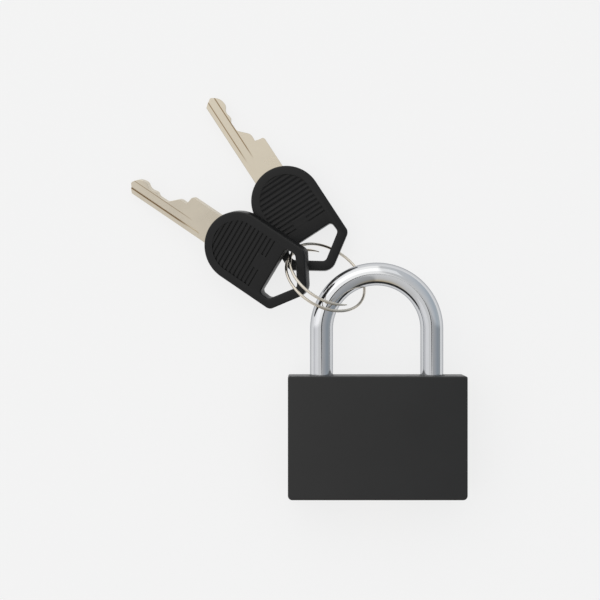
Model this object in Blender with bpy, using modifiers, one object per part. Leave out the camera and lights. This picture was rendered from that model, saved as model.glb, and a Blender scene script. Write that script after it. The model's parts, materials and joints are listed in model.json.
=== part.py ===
"""Keyed padlock with a U shackle, and two keys on a split ring.

The lock lies on its back. The origin is the middle of the body's back face, +X runs to the
lock's right, +Y toward the shackle and +Z out of the front face. Lengths are in metres.
"""
import math

import bmesh
import bpy
from mathutils import Euler, Matrix, Vector

MM = 0.001

# body
BODY_W = 45.0 * MM
BODY_H = 31.0 * MM
BODY_T = 14.0 * MM
MID_Z = BODY_T / 2.0
TOP_Y = BODY_H / 2.0
LOW_CORNER = 1.1 * MM
HIGH_CORNER = 0.5 * MM
EDGE = 0.3 * MM
GAP = 0.3 * MM

# shackle
ROD_R = 2.9 * MM
LEG_X = 14.0 * MM
ARCH_Y = 27.2 * MM
HEEL_END_Y = -3.0 * MM
TOE_END_Y = 6.0 * MM
BORE_R = ROD_R + GAP
LIFT = 9.9 * MM
NOTCH_LOW_Y = 7.8 * MM
NOTCH_HIGH_Y = 13.3 * MM
NOTCH_DEPTH = 1.3 * MM
FLAT_X = -15.3 * MM
NECK_R = 1.3 * MM
NECK_LOW_Y = -0.2 * MM
NECK_HIGH_Y = 2.4 * MM
FLAT_HIGH_Y = 12.3 * MM

# toe bolt
BOLT_R = 3.6 * MM
BOLT_Y = 10.0 * MM
BOLT_TRAVEL = 4.5 * MM
NOSE_TIP_X = 12.0 * MM
BOLT_FACE_X = 10.5 * MM
BOLT_TAIL_X = -4.6 * MM
BOLT_BORE_END_X = -10.2 * MM
SLOT_W = 2.2 * MM

# plug and cam
PLUG_R = 5.0 * MM
PLUG_IN_Y = 3.0 * MM
PLUG_FACE_Y = -15.4 * MM
FLANGE_R = 5.8 * MM
KEYWAY_LOW_X = -4.3 * MM
KEYWAY_HIGH_X = 1.85 * MM
KEYWAY_HALF = 1.15 * MM
KEYWAY_END_Y = -0.8 * MM
CAM_R = 4.4 * MM
CAM_LOW_Y = 3.3 * MM
CAM_HIGH_Y = 5.3 * MM
CAM_PEG_R = 0.75 * MM
CAM_PEG_ORBIT = 3.18 * MM
CAM_PEG_END_Y = 9.0 * MM
PIN_R = 1.1 * MM
PIN_Y = [-2.7 * MM, -5.7 * MM, -8.7 * MM, -11.7 * MM]
PIN_HOLE_R = PIN_R + 0.2 * MM
KEY_TIP_INSIDE_Y = -1.2 * MM
SPINE_INSIDE_X = -4.15 * MM

# keys
BOW_T = 3.5 * MM
BOW_HALF_W = 9.0 * MM
BOW_ARCH_X = 20.85 * MM
SHOULDER_X = 5.6 * MM
APEX_X = -0.5 * MM
RECESS_DEPTH = 0.45 * MM
RECESS_R = 6.8 * MM
RECESS_END_X = 13.2 * MM
RIB_PITCH = 1.21 * MM
RIB_W = 0.75 * MM
KEY_LENGTH = 53.75 * MM
BLADE_T = 2.0 * MM
BLADE_H = 8.25 * MM
TANG_T = 1.0 * MM

# split ring
WIRE_R = 0.36 * MM
RING_R = 10.652 * MM
RING_PITCH = 2.39 * MM
RING_FROM = -42.0
RING_TO = -601.0
RING_CENTRE = Vector((-12.72, 40.367, 8.70)) * MM
RING_TILT = -49.9
RING_HEADING = -32.9

# where each key lies: apex of the bow, heading of its length, pitch and roll in degrees
KEY_POSES = {
    "key_1": (Vector((-11.55, 42.43, 3.82)) * MM, -56.9, 2.9, -0.15),
    "key_2": (Vector((-17.74, 36.66, 11.02)) * MM, -34.14, 9.66, 17.06),
}


def clear_scene():
    for obj in list(bpy.data.objects):
        bpy.data.objects.remove(obj, do_unlink=True)
    for coll in list(bpy.data.collections):
        bpy.data.collections.remove(coll)


def make_collections():
    parts = bpy.data.collections.new("keyed_padlock")
    cutters = bpy.data.collections.new("cutters")
    bpy.context.scene.collection.children.link(parts)
    bpy.context.scene.collection.children.link(cutters)
    cutters.hide_render = True
    return parts, cutters


def make_material(name, colour, roughness, metallic):
    mat = bpy.data.materials.new(name)
    mat.use_nodes = True
    shader = mat.node_tree.nodes["Principled BSDF"]
    shader.inputs["Base Color"].default_value = (*colour, 1.0)
    shader.inputs["Roughness"].default_value = roughness
    shader.inputs["Metallic"].default_value = metallic
    mat.diffuse_color = (*colour, 1.0)
    return mat


def add_part(obj, mat, smooth=True):
    PARTS.objects.link(obj)
    obj.data.materials.clear()
    obj.data.materials.append(mat)
    if smooth and obj.type == "MESH":
        obj.data.shade_smooth()
        obj.data.set_sharp_from_angle(angle=math.radians(35))
    return obj


def add_cutter(obj):
    CUTTERS.objects.link(obj)
    obj.hide_render = True
    obj.display_type = "WIRE"
    return obj


def cut(target, cutter, operation="DIFFERENCE"):
    mod = target.modifiers.new(cutter.name, "BOOLEAN")
    mod.operation = operation
    mod.solver = "EXACT"
    mod.object = cutter
    return mod


def turn_to(axis):
    return Vector((0.0, 0.0, 1.0)).rotation_difference(Vector(axis)).to_euler()


def box(name, low, high):
    """A box between two corners."""
    bm = bmesh.new()
    bmesh.ops.create_cube(bm, size=1.0)
    low = Vector(low)
    high = Vector(high)
    bmesh.ops.scale(bm, vec=high - low, verts=bm.verts)
    mesh = bpy.data.meshes.new(name)
    bm.to_mesh(mesh)
    bm.free()
    obj = bpy.data.objects.new(name, mesh)
    obj.location = (low + high) / 2.0
    return obj


def rod(name, start, end, radius, sides=32, end_radius=None):
    """A round bar, or a cone, from one point to another."""
    start = Vector(start)
    end = Vector(end)
    bm = bmesh.new()
    bmesh.ops.create_cone(
        bm,
        cap_ends=True,
        segments=sides,
        radius1=radius,
        radius2=radius if end_radius is None else end_radius,
        depth=(end - start).length,
    )
    mesh = bpy.data.meshes.new(name)
    bm.to_mesh(mesh)
    bm.free()
    obj = bpy.data.objects.new(name, mesh)
    obj.location = (start + end) / 2.0
    obj.rotation_euler = turn_to(end - start)
    return obj


def turned(name, profile, base, axis, sides=32):
    """A turned piece: (radius, height) points from its top down, spun round its axis."""
    mesh = bpy.data.meshes.new(name)
    verts = [(radius, 0.0, height) for radius, height in profile]
    edges = [(i, i + 1) for i in range(len(verts) - 1)]
    mesh.from_pydata(verts, edges, [])
    obj = bpy.data.objects.new(name, mesh)
    obj.location = base
    obj.rotation_euler = turn_to(axis)
    mod = obj.modifiers.new("spin", "SCREW")
    mod.steps = sides
    mod.render_steps = sides
    mod.use_merge_vertices = True
    mod.merge_threshold = 0.00001
    mod.use_smooth_shade = True
    return obj


def baked(obj):
    """A mesh object with the evaluated shape of a curve, or of an object with modifiers."""
    scene_coll = bpy.context.scene.collection
    linked = not obj.users_collection
    if linked:
        scene_coll.objects.link(obj)
    bpy.context.view_layer.update()
    depsgraph = bpy.context.evaluated_depsgraph_get()
    mesh = bpy.data.meshes.new_from_object(obj.evaluated_get(depsgraph))
    bm = bmesh.new()
    bm.from_mesh(mesh)
    bmesh.ops.remove_doubles(bm, verts=bm.verts, dist=0.000002)
    bm.to_mesh(mesh)
    bm.free()
    name = obj.name
    matrix = obj.matrix_world.copy()
    bpy.data.objects.remove(obj, do_unlink=True)
    mesh.name = name
    made = bpy.data.objects.new(name, mesh)
    made.matrix_world = matrix
    return made


def plate(name, outlines, thickness, chamfer=0.0, matrix=None):
    """A flat plate cut to its outlines, chamfered round its rims, centred on its own plane."""
    curve = bpy.data.curves.new(name, "CURVE")
    curve.dimensions = "2D"
    curve.fill_mode = "BOTH"
    curve.extrude = thickness / 2.0 - chamfer
    curve.bevel_depth = chamfer
    curve.bevel_resolution = 0
    curve.offset = -chamfer
    for outline in outlines:
        spline = curve.splines.new("POLY")
        spline.points.add(len(outline) - 1)
        for point, (x, y) in zip(spline.points, outline):
            point.co = (x, y, 0.0, 1.0)
        spline.use_cyclic_u = True
    obj = bpy.data.objects.new(name, curve)
    if matrix is not None:
        obj.matrix_world = matrix
    return baked(obj)


def wire(name, points, radius, resolution=2, matrix=None, taper=None):
    """A round wire along its points, with closed ends."""
    curve = bpy.data.curves.new(name, "CURVE")
    curve.dimensions = "3D"
    curve.bevel_depth = radius
    curve.bevel_resolution = resolution
    curve.use_fill_caps = True
    spline = curve.splines.new("POLY")
    spline.points.add(len(points) - 1)
    for i, (point, co) in enumerate(zip(spline.points, points)):
        point.co = (*co, 1.0)
        if taper is not None:
            point.radius = taper(i)
    obj = bpy.data.objects.new(name, curve)
    if matrix is not None:
        obj.matrix_world = matrix
    return baked(obj)


def filleted(corners, steps=5):
    """A closed outline whose corners, (x, y, radius), are rounded."""
    out = []
    count = len(corners)
    for i, (x, y, radius) in enumerate(corners):
        here = Vector((x, y))
        if radius <= 0.0:
            out.append((x, y))
            continue
        back = (Vector(corners[i - 1][:2]) - here).normalized()
        ahead = (Vector(corners[(i + 1) % count][:2]) - here).normalized()
        half = back.angle(ahead) / 2.0
        centre = here + (back + ahead).normalized() * radius / math.sin(half)
        first = here + back * radius / math.tan(half) - centre
        last = here + ahead * radius / math.tan(half) - centre
        sweep = first.angle_signed(last)
        for k in range(steps + 1):
            turn = Matrix.Rotation(-sweep * k / steps, 2)
            spot = centre + turn @ first
            out.append((spot.x, spot.y))
    return out


def coil(name, start, axis, radius, wire_radius, length, turns, steps=10):
    """A compression spring along an axis."""
    turn = turn_to(axis).to_matrix()
    points = []
    count = int(turns * steps)
    for i in range(count + 1):
        angle = 2.0 * math.pi * i / steps
        rise = wire_radius + (length - 2.0 * wire_radius) * i / count
        local = Vector((radius * math.cos(angle), radius * math.sin(angle), rise))
        points.append(Vector(start) + turn @ local)
    return wire(name, points, wire_radius, resolution=1)


def move_origin(obj, spot):
    """Puts an object's origin on a point, and leaves its shape where it is."""
    spot = Vector(spot)
    matrix = Matrix.LocRotScale(obj.location, obj.rotation_euler, None)
    shift = matrix.inverted() @ spot
    obj.data.transform(Matrix.Translation(-shift))
    obj.location = spot


def add_pivot(name, spot):
    pivot = bpy.data.objects.new(name, None)
    pivot.location = spot
    pivot.empty_display_size = 4.0 * MM
    PARTS.objects.link(pivot)
    return pivot


def hang(obj, pivot):
    """Parents an object to a pivot, whose own location is always in world space."""
    obj.parent = pivot
    obj.matrix_parent_inverse = Matrix.Translation(-pivot.location)


# the lock


def make_body():
    half = BODY_W / 2.0
    corners = [
        (-half, -TOP_Y, LOW_CORNER),
        (half, -TOP_Y, LOW_CORNER),
        (half, TOP_Y, HIGH_CORNER),
        (-half, TOP_Y, HIGH_CORNER),
    ]
    centre = Matrix.Translation((0.0, 0.0, MID_Z))
    body = plate("lock_body", [filleted(corners)], BODY_T, EDGE, centre)
    add_part(body, BLACK)
    bores = [
        rod("bore_heel", (-LEG_X, -14.0 * MM, MID_Z), (-LEG_X, TOP_Y + MM, MID_Z), BORE_R),
        rod("bore_toe", (LEG_X, 5.0 * MM, MID_Z), (LEG_X, TOP_Y + MM, MID_Z), BORE_R),
        rod("bore_plug", (0, -TOP_Y - MM, MID_Z), (0, 3.2 * MM, MID_Z), PLUG_R + 0.2 * MM),
        rod("bore_flange", (0, -TOP_Y - MM, MID_Z), (0, -14.2 * MM, MID_Z), FLANGE_R + 0.2 * MM),
        rod("bore_cam", (0, 2.9 * MM, MID_Z), (0, 9.4 * MM, MID_Z), CAM_R + GAP),
        rod("bore_bolt", (BOLT_BORE_END_X, BOLT_Y, MID_Z), (half + MM, BOLT_Y, MID_Z), BOLT_R + 0.25 * MM),
        rod("bore_retainer", (-5.0 * MM, 1.2 * MM, -MM), (-5.0 * MM, 1.2 * MM, 11.0 * MM), 1.15 * MM, 16),
        rod("bore_stop", (-16.6 * MM, 11.0 * MM, -MM), (-16.6 * MM, 11.0 * MM, 12.5 * MM), 1.25 * MM, 16),
    ]
    for i, y in enumerate(PIN_Y):
        name = "bore_chamber_%d" % (i + 1)
        bores.append(rod(name, (3.0 * MM, y, MID_Z), (half + MM, y, MID_Z), PIN_HOLE_R, 20))
    for bore in bores:
        cut(body, add_cutter(bore))
    return body


def make_shackle():
    points = [(-LEG_X, HEEL_END_Y, MID_Z), (-LEG_X, 12.0 * MM, MID_Z)]
    steps = 30
    for i in range(steps + 1):
        angle = math.pi - math.pi * i / steps
        points.append((LEG_X * math.cos(angle), ARCH_Y + LEG_X * math.sin(angle), MID_Z))
    points += [(LEG_X, 12.0 * MM, MID_Z), (LEG_X, TOE_END_Y, MID_Z)]
    shackle = add_part(wire("shackle", points, ROD_R, resolution=10), CHROME)
    inner_x = LEG_X - ROD_R
    side = 5.0 * MM
    notch = box(
        "notch_toe",
        (inner_x - MM, NOTCH_LOW_Y, MID_Z - side),
        (inner_x + NOTCH_DEPTH, NOTCH_HIGH_Y, MID_Z + side),
    )
    flat = box(
        "flat_heel",
        (-LEG_X - ROD_R - MM, NECK_HIGH_Y - 0.1 * MM, MID_Z - side),
        (FLAT_X, FLAT_HIGH_Y, MID_Z + side),
    )
    groove = rod("groove_heel", (-LEG_X, NECK_LOW_Y, MID_Z), (-LEG_X, NECK_HIGH_Y, MID_Z), ROD_R + MM)
    core = rod("groove_core", (-LEG_X, NECK_LOW_Y - MM, MID_Z), (-LEG_X, NECK_HIGH_Y + MM, MID_Z), NECK_R)
    cut(groove, add_cutter(core))
    for cutter in (notch, flat, groove):
        cut(shackle, add_cutter(cutter))
    move_origin(shackle, (-LEG_X, HEEL_END_Y, MID_Z))
    return shackle


def make_toe_bolt():
    bolt = rod("toe_bolt", (BOLT_TAIL_X, BOLT_Y, MID_Z), (NOSE_TIP_X, BOLT_Y, MID_Z), BOLT_R, 32)
    add_part(bolt, STEEL)
    side = 5.0 * MM
    low_nose = box("nose_low", (BOLT_FACE_X, BOLT_Y - side, MID_Z - side), (NOSE_TIP_X + MM, BOLT_Y, MID_Z + side))
    high_nose = box(
        "nose_high",
        (BOLT_FACE_X, BOLT_Y + 3.0 * MM, MID_Z - side),
        (NOSE_TIP_X + MM, BOLT_Y + side, MID_Z + side),
    )
    peg_x = CAM_PEG_ORBIT * math.cos(math.radians(45.0))
    slot = box(
        "slot_cam",
        (peg_x - SLOT_W / 2.0, BOLT_Y - side, MID_Z - side),
        (peg_x + SLOT_W / 2.0, CAM_PEG_END_Y + GAP, MID_Z + side),
    )
    seat = rod("spring_seat", (BOLT_TAIL_X - MM, BOLT_Y, MID_Z), (-0.8 * MM, BOLT_Y, MID_Z), 2.3 * MM, 20)
    for cutter in (low_nose, high_nose, slot, seat):
        cut(bolt, add_cutter(cutter))
    move_origin(bolt, (0.0, BOLT_Y, MID_Z))
    spring_start = (BOLT_BORE_END_X + GAP, BOLT_Y, MID_Z)
    spring = coil("bolt_spring", spring_start, (1, 0, 0), 1.6 * MM, 0.3 * MM, 8.7 * MM, 5)
    add_part(spring, STEEL)
    cap = rod("bolt_bore_plug", (17.8 * MM, BOLT_Y, MID_Z), (BODY_W / 2.0 - 0.1 * MM, BOLT_Y, MID_Z), 3.6 * MM)
    add_part(cap, BLACK)
    return bolt, spring, cap


def blade_height(distance):
    """Height of the cut edge above the spine, at a distance from the blade's tip."""
    for (d0, h0), (d1, h1) in zip(CUTS, CUTS[1:]):
        if d0 <= distance <= d1:
            return h0 + (h1 - h0) * (distance - d0) / (d1 - d0)
    return BLADE_H


def make_plug():
    length = PLUG_IN_Y - PLUG_FACE_Y
    groove_low = 0.0 * MM - PLUG_FACE_Y
    groove_high = 2.4 * MM - PLUG_FACE_Y
    flange = 0.9 * MM
    profile = [
        (0.0, length),
        (PLUG_R, length),
        (PLUG_R, groove_high),
        (3.8 * MM, groove_high),
        (3.8 * MM, groove_low),
        (PLUG_R, groove_low),
        (PLUG_R, flange),
        (FLANGE_R, flange),
        (FLANGE_R, 0.3 * MM),
        (FLANGE_R - 0.3 * MM, 0.0),
        (0.0, 0.0),
    ]
    plug = turned("cylinder_plug", profile, (0.0, PLUG_FACE_Y, MID_Z), (0, 1, 0))
    plug = add_part(baked(plug), BRASS)
    keyway = box(
        "keyway",
        (KEYWAY_LOW_X, PLUG_FACE_Y - MM, MID_Z - KEYWAY_HALF),
        (KEYWAY_HIGH_X, KEYWAY_END_Y, MID_Z + KEYWAY_HALF),
    )
    ward = box(
        "ward",
        (SPINE_INSIDE_X + 1.2 * MM, PLUG_FACE_Y - 2.0 * MM, MID_Z + 0.75 * MM),
        (SPINE_INSIDE_X + 2.7 * MM, KEYWAY_END_Y + MM, MID_Z + 2.0 * MM),
    )
    cut(keyway, add_cutter(ward))
    cut(plug, add_cutter(keyway))
    for i, y in enumerate(PIN_Y):
        hole = rod("pin_hole_%d" % (i + 1), (-1.7 * MM, y, MID_Z), (6.0 * MM, y, MID_Z), PIN_HOLE_R, 20)
        cut(plug, add_cutter(hole))
    move_origin(plug, (0.0, PLUG_FACE_Y, MID_Z))

    angle = math.radians(45.0)
    peg_x = CAM_PEG_ORBIT * math.cos(angle)
    peg_z = MID_Z + CAM_PEG_ORBIT * math.sin(angle)
    cam = rod("plug_cam", (0.0, CAM_LOW_Y, MID_Z), (0.0, CAM_HIGH_Y, MID_Z), CAM_R)
    add_part(cam, STEEL)
    peg = rod("cam_peg", (peg_x, CAM_HIGH_Y - MM, peg_z), (peg_x, CAM_PEG_END_Y, peg_z), CAM_PEG_R, 16)
    cut(cam, add_cutter(peg), "UNION")
    move_origin(cam, (0.0, CAM_LOW_Y, MID_Z))
    retainer = rod(
        "plug_retaining_pin",
        (-5.0 * MM, 1.2 * MM, GAP),
        (-5.0 * MM, 1.2 * MM, 10.7 * MM),
        0.9 * MM,
        16,
    )
    add_part(retainer, STEEL)
    return [plug, cam]


def make_pin_stacks():
    """Each stack from the keyway out: key pin, driver pin, spring and chamber plug."""
    turning = []
    drivers = []
    for i, y in enumerate(PIN_Y):
        number = i + 1
        low = SPINE_INSIDE_X + blade_height(KEY_TIP_INSIDE_Y - y)
        high = 4.7 * MM
        tip = 0.6 * MM
        profile = [(0.0, high - low), (PIN_R, high - low), (PIN_R, tip), (0.5 * MM, 0.0), (0.0, 0.0)]
        key_pin = turned("key_pin_%d" % number, profile, (low, y, MID_Z), (1, 0, 0), 20)
        turning.append(add_part(baked(key_pin), BRASS))
        driver = rod("driver_pin_%d" % number, (5.3 * MM, y, MID_Z), (9.3 * MM, y, MID_Z), PIN_R, 20)
        drivers.append(add_part(driver, STEEL))
        spring = coil(
            "pin_spring_%d" % number,
            (9.6 * MM, y, MID_Z),
            (1, 0, 0),
            0.85 * MM,
            0.2 * MM,
            7.3 * MM,
            4,
            8,
        )
        add_part(spring, STEEL)
        stopper = rod(
            "chamber_plug_%d" % number,
            (17.2 * MM, y, MID_Z),
            (BODY_W / 2.0 - 0.1 * MM, y, MID_Z),
            PIN_R,
            20,
        )
        add_part(stopper, BLACK)
    return turning, drivers


def make_heel_parts():
    stop = rod("heel_stop_pin", (-16.6 * MM, 11.0 * MM, GAP), (-16.6 * MM, 11.0 * MM, 12.2 * MM), 1.0 * MM, 16)
    add_part(stop, STEEL)
    spring = coil("heel_spring", (-LEG_X, -13.7 * MM, MID_Z), (0, 1, 0), 2.1 * MM, 0.35 * MM, 10.4 * MM, 6)
    add_part(spring, STEEL)


# the keys


def bow_outline():
    arch = []
    steps = 18
    for i in range(steps + 1):
        angle = math.pi / 2.0 - math.pi * i / steps
        arch.append((BOW_ARCH_X + BOW_HALF_W * math.cos(angle), BOW_HALF_W * math.sin(angle), 0.0))
    point = [(SHOULDER_X, -BOW_HALF_W, 1.8 * MM), (APEX_X, 0.0, 3.2 * MM), (SHOULDER_X, BOW_HALF_W, 1.8 * MM)]
    return filleted(arch + point)


def hole_outline():
    corners = [
        (2.46 * MM, 0.0, 1.2 * MM),
        (7.2 * MM, 6.85 * MM, 1.5 * MM),
        (10.0 * MM, 6.65 * MM, 0.9 * MM),
        (10.0 * MM, -6.65 * MM, 0.9 * MM),
        (7.2 * MM, -6.85 * MM, 1.5 * MM),
    ]
    return filleted(corners, 4)


def recess_outline():
    points = [(RECESS_END_X, -RECESS_R), (RECESS_END_X, RECESS_R)]
    steps = 12
    for i in range(steps + 1):
        angle = math.pi / 2.0 - math.pi * i / steps
        points.append((BOW_ARCH_X + RECESS_R * math.cos(angle), RECESS_R * math.sin(angle)))
    return points[::-1]


def make_recess_cutter(name, side, matrix):
    """The grooved recess: a shallow pocket, deeper in the grooves between its ribs."""
    depth = RECESS_DEPTH + MM
    middle = side * (BOW_T / 2.0 - RECESS_DEPTH + depth / 2.0)
    pocket = plate(name, [recess_outline()], depth, 0.0, matrix @ Matrix.Translation((0, 0, middle)))
    ribs = bpy.data.meshes.new(name + "_ribs")
    bm = bmesh.new()
    low = BOW_T / 2.0 - RECESS_DEPTH - 0.2 * MM
    high = BOW_T / 2.0 - 0.12 * MM
    spots = []
    for i in range(12):
        centre = RECESS_END_X + RIB_W * 0.85 + RIB_PITCH * i
        spots.append((centre, RIB_W, 0.0, 7.0 * MM))
    spots.append((RECESS_END_X + 1.1 * MM, 2.6 * MM, 0.0, 2.0 * MM))
    for x, width, y, half in spots:
        made = bmesh.ops.create_cube(bm, size=1.0)
        bmesh.ops.scale(bm, vec=(width, 2.0 * half, high - low), verts=made["verts"])
        spot = (x, y, side * (high + low) / 2.0)
        bmesh.ops.translate(bm, vec=spot, verts=made["verts"])
    bm.to_mesh(ribs)
    bm.free()
    rib_obj = bpy.data.objects.new(name + "_ribs", ribs)
    rib_obj.matrix_world = matrix
    mod = cut(pocket, add_cutter(rib_obj))
    mod.use_self = True
    return add_cutter(pocket)


def key_matrix(pose):
    apex, heading, pitch, roll = pose
    turn = Euler((math.radians(-roll), math.radians(pitch), math.radians(heading + 180.0)))
    return Matrix.Translation(apex) @ turn.to_matrix().to_4x4()


def box_in(name, low, high, matrix):
    obj = box(name, low, high)
    obj.matrix_world = matrix @ Matrix.Translation(obj.location)
    return obj


def make_bow(name, matrix):
    bow = plate(name + "_bow", [bow_outline(), hole_outline()], BOW_T, 0.4 * MM, matrix)
    add_part(bow, PLASTIC)
    wide = 4.4 * MM
    thick = BLADE_T / 2.0 + 0.25 * MM
    mouth = box_in(name + "_mouth", (27.85 * MM, -wide, -thick), (31.0 * MM, wide, thick), matrix)
    thin = TANG_T / 2.0 + 0.25 * MM
    pocket = box_in(name + "_pocket", (22.2 * MM, -2.8 * MM, -thin), (28.3 * MM, 2.8 * MM, thin), matrix)
    cut(bow, add_cutter(mouth))
    cut(bow, add_cutter(pocket))
    for label, side in (("front", 1.0), ("back", -1.0)):
        cut(bow, make_recess_cutter("%s_recess_%s" % (name, label), side, matrix))
    return bow


def make_blade(name, matrix):
    half = BLADE_H / 2.0
    end = 28.15 * MM
    outline = [(KEY_LENGTH - d, half - h) for d, h in CUTS]
    outline.append((end, half - BLADE_H))
    outline.append((end, half))
    outline += [(KEY_LENGTH - d, half - h) for d, h in SPINE]
    blade = plate(name + "_blade", [outline], BLADE_T, 0.0, matrix)
    add_part(blade, NICKEL)
    tang = box_in(
        name + "_tang",
        (22.5 * MM, -2.5 * MM, -TANG_T / 2.0),
        (end + MM, 2.5 * MM, TANG_T / 2.0),
        matrix,
    )
    cut(blade, add_cutter(tang), "UNION")
    spine_y = half
    for label, side in (("front", 1.0), ("back", -1.0)):
        run = [
            (32.2 * MM, spine_y - 1.3 * MM),
            (35.3 * MM, spine_y - 3.1 * MM),
            (55.0 * MM, spine_y - 3.1 * MM),
            (55.0 * MM, spine_y - 1.1 * MM),
            (33.2 * MM, spine_y - 1.1 * MM),
        ]
        lift = Matrix.Translation((0.0, 0.0, side * (BLADE_T / 2.0 + 0.35 * MM)))
        mill = plate("%s_mill_%s" % (name, label), [run], 1.5 * MM, 0.0, matrix @ lift)
        cut(blade, add_cutter(mill))
    return blade


def ring_point(degrees):
    """A point of the ring's wire, in the ring's own frame."""
    angle = math.radians(degrees)
    turns = math.radians(degrees - RING_FROM) / (2.0 * math.pi)
    rise = (turns + 0.78) * RING_PITCH
    return Vector((RING_R * math.cos(angle), RING_R * math.sin(angle), rise))


def make_ring():
    count = 66
    points = [ring_point(RING_FROM + (RING_TO - RING_FROM) * i / count) for i in range(count + 1)]
    turn = Euler((math.radians(RING_TILT), 0.0, math.radians(RING_HEADING)))
    matrix = Matrix.Translation(RING_CENTRE) @ turn.to_matrix().to_4x4()

    def taper(i):
        return min(1.0, 0.55 + 0.2 * min(i, count - i))

    ring = wire("key_ring", points, WIRE_R, 2, matrix, taper)
    return add_part(ring, NICKEL)


def main():
    make_body()
    shackle = make_shackle()
    bolt = make_toe_bolt()[0]
    turning = make_plug()
    key_pins, drivers = make_pin_stacks()
    make_heel_parts()
    ring = make_ring()

    slide = add_pivot("shackle_slide", (-LEG_X, HEEL_END_Y, MID_Z))
    plug_axis = add_pivot("plug_axis", (0.0, PLUG_FACE_Y, MID_Z))
    bolt_slide = add_pivot("bolt_slide", (0.0, BOLT_Y, MID_Z))
    arch_angle = math.radians(123.5)
    rod_spot = (LEG_X * math.cos(arch_angle), ARCH_Y + LEG_X * math.sin(arch_angle), MID_Z)
    swing = add_pivot("ring_swing_axis", Vector(rod_spot))
    hang(shackle, slide)
    hang(bolt, bolt_slide)
    for obj in turning + key_pins:
        hang(obj, plug_axis)
    hang(swing, slide)
    hang(ring, swing)
    for i, driver in enumerate(drivers):
        driver_slide = add_pivot("driver_slide_%d" % (i + 1), driver.location)
        hang(driver, driver_slide)
    turn = Euler((math.radians(RING_TILT), 0.0, math.radians(RING_HEADING)))
    for name, wire_angle in (("key_1", -260.0), ("key_2", -190.0)):
        matrix = key_matrix(KEY_POSES[name])
        spot = RING_CENTRE + turn.to_matrix() @ ring_point(wire_angle)
        pivot = add_pivot(name + "_pivot", spot)
        hang(pivot, swing)
        for piece in (make_blade(name, matrix), make_bow(name, matrix)):
            hang(piece, pivot)
    bpy.context.view_layer.update()


# distance from the tip and height above the spine, along the blade's cut edge
CUTS = [
    (0.0 * MM, 2.03 * MM),
    (0.21 * MM, 2.68 * MM),
    (1.6 * MM, 4.17 * MM),
    (3.64 * MM, 4.49 * MM),
    (4.76 * MM, 3.85 * MM),
    (5.89 * MM, 3.64 * MM),
    (7.28 * MM, 3.85 * MM),
    (8.13 * MM, 3.26 * MM),
    (10.7 * MM, 3.37 * MM),
    (13.11 * MM, 5.46 * MM),
    (13.91 * MM, 5.89 * MM),
    (15.52 * MM, 5.83 * MM),
    (15.94 * MM, 7.92 * MM),
    (16.59 * MM, 8.25 * MM),
]
SPINE = [(1.6 * MM, 0.0), (0.95 * MM, 0.75 * MM)]

clear_scene()
PARTS, CUTTERS = make_collections()
BLACK = make_material("black_paint", (0.032, 0.032, 0.032), 0.45, 0.0)
CHROME = make_material("chrome", (0.82, 0.83, 0.84), 0.08, 1.0)
STEEL = make_material("steel", (0.55, 0.56, 0.57), 0.35, 1.0)
BRASS = make_material("brass", (0.72, 0.55, 0.26), 0.3, 1.0)
NICKEL = make_material("nickel", (0.66, 0.61, 0.52), 0.25, 1.0)
PLASTIC = make_material("black_plastic", (0.022, 0.022, 0.023), 0.5, 0.0)
main()
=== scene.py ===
"""A keyed padlock with a chrome shackle, and two plastic-headed keys on a split ring.

The pieces are built round the jointed frame. +X is the lock's right, +Y points to the shackle
and +Z out of the front face. Lengths are in metres.
"""
import json
import math

import bmesh
import bpy
from bpy.props import FloatProperty, FloatVectorProperty, IntProperty, PointerProperty
from mathutils import Euler, Matrix, Vector


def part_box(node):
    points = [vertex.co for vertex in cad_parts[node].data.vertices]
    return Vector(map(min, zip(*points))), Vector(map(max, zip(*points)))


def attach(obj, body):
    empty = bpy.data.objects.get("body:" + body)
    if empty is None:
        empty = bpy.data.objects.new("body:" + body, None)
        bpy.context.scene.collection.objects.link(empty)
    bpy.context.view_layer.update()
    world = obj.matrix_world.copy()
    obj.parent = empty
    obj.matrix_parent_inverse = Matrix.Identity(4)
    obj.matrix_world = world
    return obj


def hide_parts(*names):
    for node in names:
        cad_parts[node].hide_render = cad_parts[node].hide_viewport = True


bl_info = {
    "name": "Keyed Padlock",
    "version": (1, 0, 0),
    "blender": (4, 5, 0),
    "location": "3D Viewport > Sidebar > Padlock",
    "description": "Builds a keyed padlock with two keys on a split ring",
    "category": "Object",
}

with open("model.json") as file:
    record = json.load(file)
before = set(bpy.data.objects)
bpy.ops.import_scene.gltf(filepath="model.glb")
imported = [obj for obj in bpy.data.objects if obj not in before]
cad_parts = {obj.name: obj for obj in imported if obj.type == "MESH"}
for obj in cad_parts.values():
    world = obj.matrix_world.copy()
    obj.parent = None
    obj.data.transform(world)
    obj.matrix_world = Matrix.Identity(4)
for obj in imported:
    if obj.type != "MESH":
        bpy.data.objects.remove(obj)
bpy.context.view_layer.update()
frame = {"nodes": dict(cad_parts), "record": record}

MM = 0.001
BODY_LOW, BODY_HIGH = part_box("lock_body")
BODY_SIZE = Vector(BODY_HIGH) - Vector(BODY_LOW)
SHACKLE_LOW, SHACKLE_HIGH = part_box("shackle")
MID_Z = BODY_SIZE.z / 2.0
TOP_Y = BODY_SIZE.y / 2.0
HALF_W = BODY_SIZE.x / 2.0
ROD_R = (SHACKLE_HIGH[2] - SHACKLE_LOW[2]) / 2.0
LEG_X = (SHACKLE_HIGH[0] - SHACKLE_LOW[0]) / 2.0 - ROD_R
ARCH_Y = SHACKLE_HIGH[1] - ROD_R - LEG_X
HEEL_END_Y = SHACKLE_LOW[1]
TOE_END_Y = 6.0 * MM
# a cutter reaches this far past the face that it opens
OVERCUT = 1.0 * MM
# the pieces are cut at this scale, where their small steps stay well clear of rounding
CARVE_SCALE = 1000.0

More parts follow.
